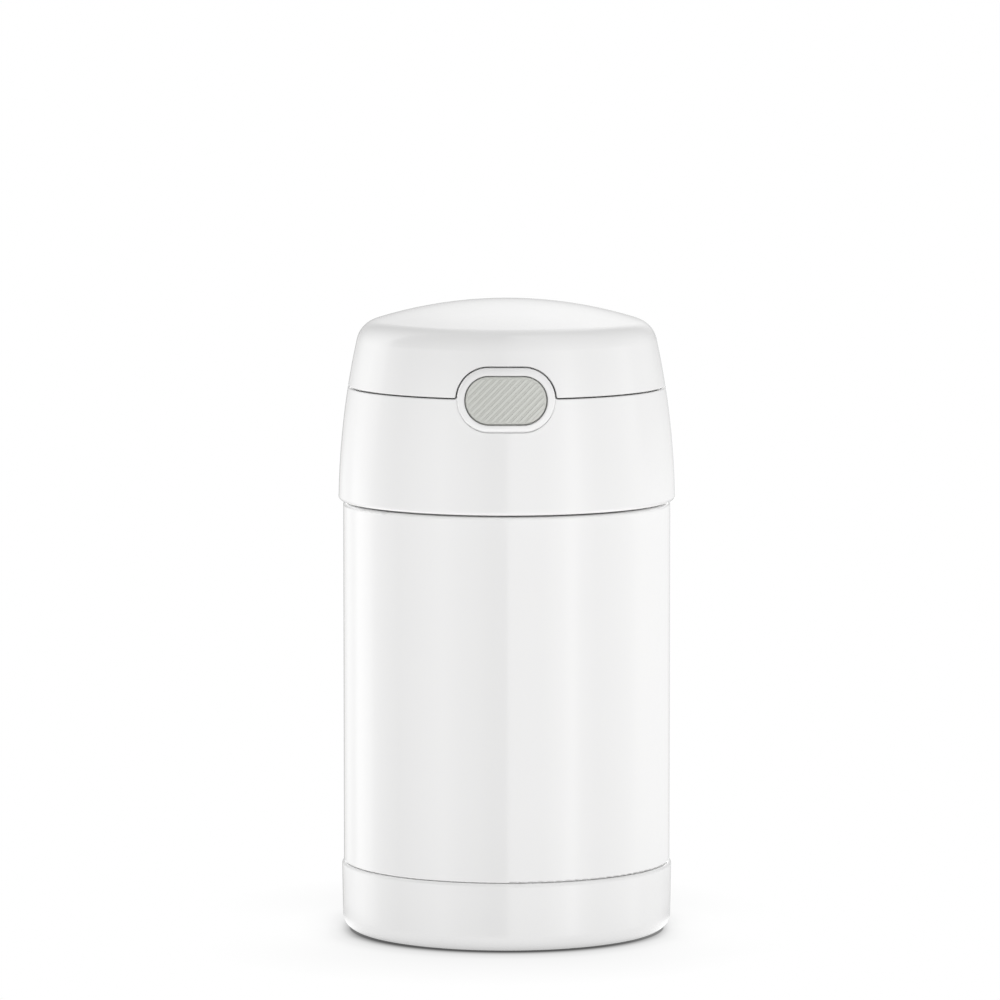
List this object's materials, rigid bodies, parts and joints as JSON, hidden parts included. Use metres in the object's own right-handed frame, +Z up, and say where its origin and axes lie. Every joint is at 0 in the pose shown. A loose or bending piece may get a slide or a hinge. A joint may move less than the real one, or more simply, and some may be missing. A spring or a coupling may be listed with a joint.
{
  "type": "insulated food jar",
  "caption": "Vacuum-insulated steel food jar with a screw-on collar, a domed hinged lid with a sealing plug, and a ribbed push button that frees the lid's latch.",
  "frame": {"origin": "centre of the underside, on the surface that the jar stands on", "axes": "+Z up along the jar's axis, -Y towards the push button, +Y towards the hinge, +X to the right seen from the front"},
  "size_m": [0.092, 0.092, 0.1732],
  "materials": {
    "coated_steel": "gloss",
    "bare_steel": "satin",
    "seal_metal": "matte",
    "foil": "polished",
    "white_gloss_plastic": "gloss",
    "inner_plastic": "satin",
    "grey_plastic": "satin",
    "clear_silicone": "satin",
    "foam": "matte"
  },
  "bodies": {
    "jar": {"outer_shell": "coated_steel", "inner_vessel": "bare_steel", "outer_base_plate": "bare_steel", "vacuum_seal_bead": "seal_metal", "reflective_foil": "foil", "getter_clip": "bare_steel", "getter_pellet": "seal_metal", "base_boot": "white_gloss_plastic"},
    "seal": {"jar_gasket": "clear_silicone"},
    "collar": {"collar_shell": "white_gloss_plastic", "thread_ring": "inner_plastic", "latch_housing": "inner_plastic", "hinge_pin": "bare_steel"},
    "button": {"button_cap": "grey_plastic", "latch_slide": "inner_plastic", "button_springs": "bare_steel"},
    "lid": {"lid_cover": "white_gloss_plastic", "lid_liner": "inner_plastic", "lid_gasket": "clear_silicone", "lid_insulation": "foam", "latch_hook": "inner_plastic"}
  },
  "joints": [
    {"name": "collar_lift", "type": "slide", "parent": "jar", "child": "seal", "axis": [0, 0, 1], "range_m": [0, 0.0063]},
    {"name": "collar_turn", "type": "hinge", "parent": "seal", "child": "collar", "pos_m": [0, 0, 0.13], "axis": [0, 0, 1], "range_deg": [0, 445]},
    {"name": "lid_hinge", "type": "hinge", "parent": "collar", "child": "lid", "pos_m": [0, 0.04299, 0.1498], "axis": [-1, 0, 0], "range_deg": [0, 110]},
    {"name": "button_press", "type": "slide", "parent": "collar", "child": "button", "axis": [0, 1, 0], "range_m": [0, 0.0015], "stiffness_N_per_m": 1200, "springref_m": -0.0015, "deforming": ["button_springs"]}
  ],
  "couplings": [
    {"joint": "collar_lift", "follows": "collar_turn", "m_per_rad": 0.00079577}
  ]
}
